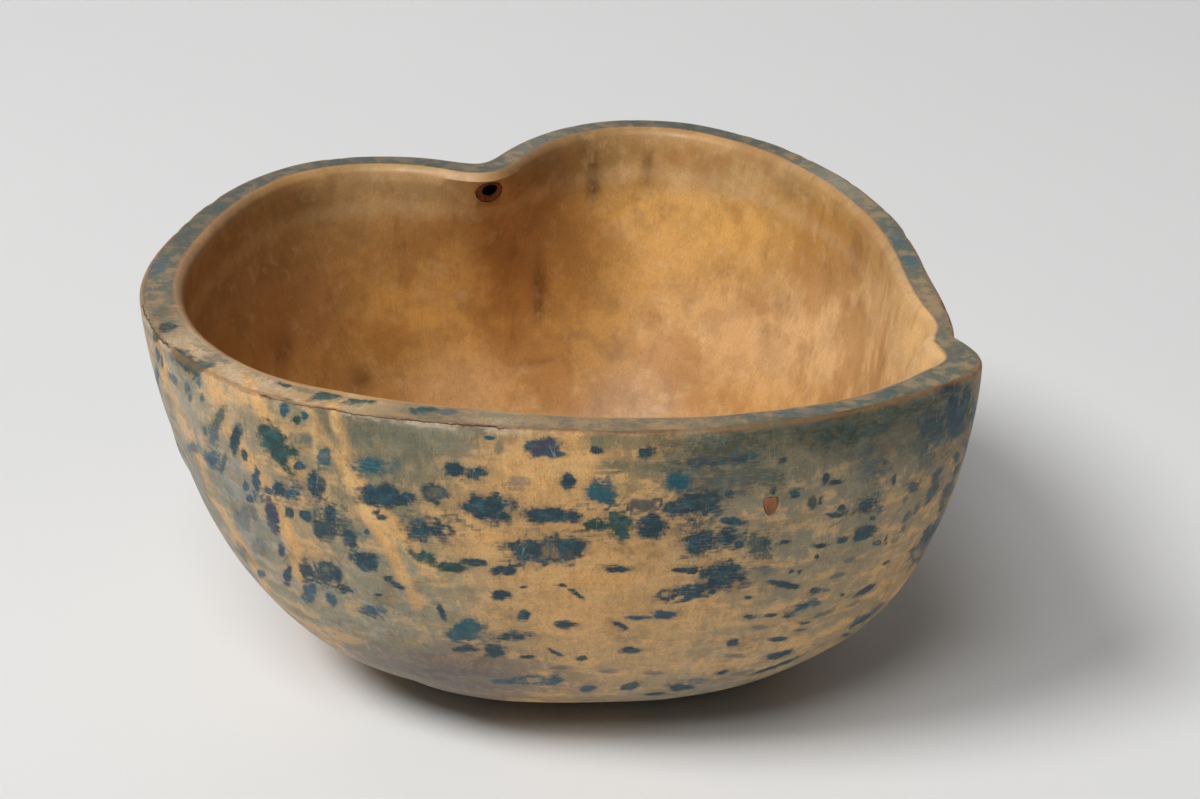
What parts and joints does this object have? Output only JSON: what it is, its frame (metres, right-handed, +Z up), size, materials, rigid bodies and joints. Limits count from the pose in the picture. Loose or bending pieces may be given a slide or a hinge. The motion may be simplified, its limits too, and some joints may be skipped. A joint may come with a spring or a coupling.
{
  "type": "root bowl",
  "caption": "Deep wooden bowl of free heart-like outline, carved from one root burl, with a flat rim, a deep cleft and blue-green dabbed paint outside.",
  "frame": {"origin": "on the standing surface, under the middle of the bowl's box", "axes": "+Z up, out of the bowl's mouth; +X towards the nose's side; +Y towards the back swelling beside the cleft"},
  "size_m": [0.3016, 0.3024, 0.151],
  "materials": {
    "painted_burl": "satin oiled burl with worn blue-green dabs and glaze outside, golden brown inside",
    "dead_knot": "matte dark knot with a black hollow",
    "red_knot": "satin red-brown knot"
  },
  "bodies": {
    "root": {"bowl_body": "painted_burl", "cleft_knot": "dead_knot", "pin_knot": "red_knot"}
  },
  "joints": []
}
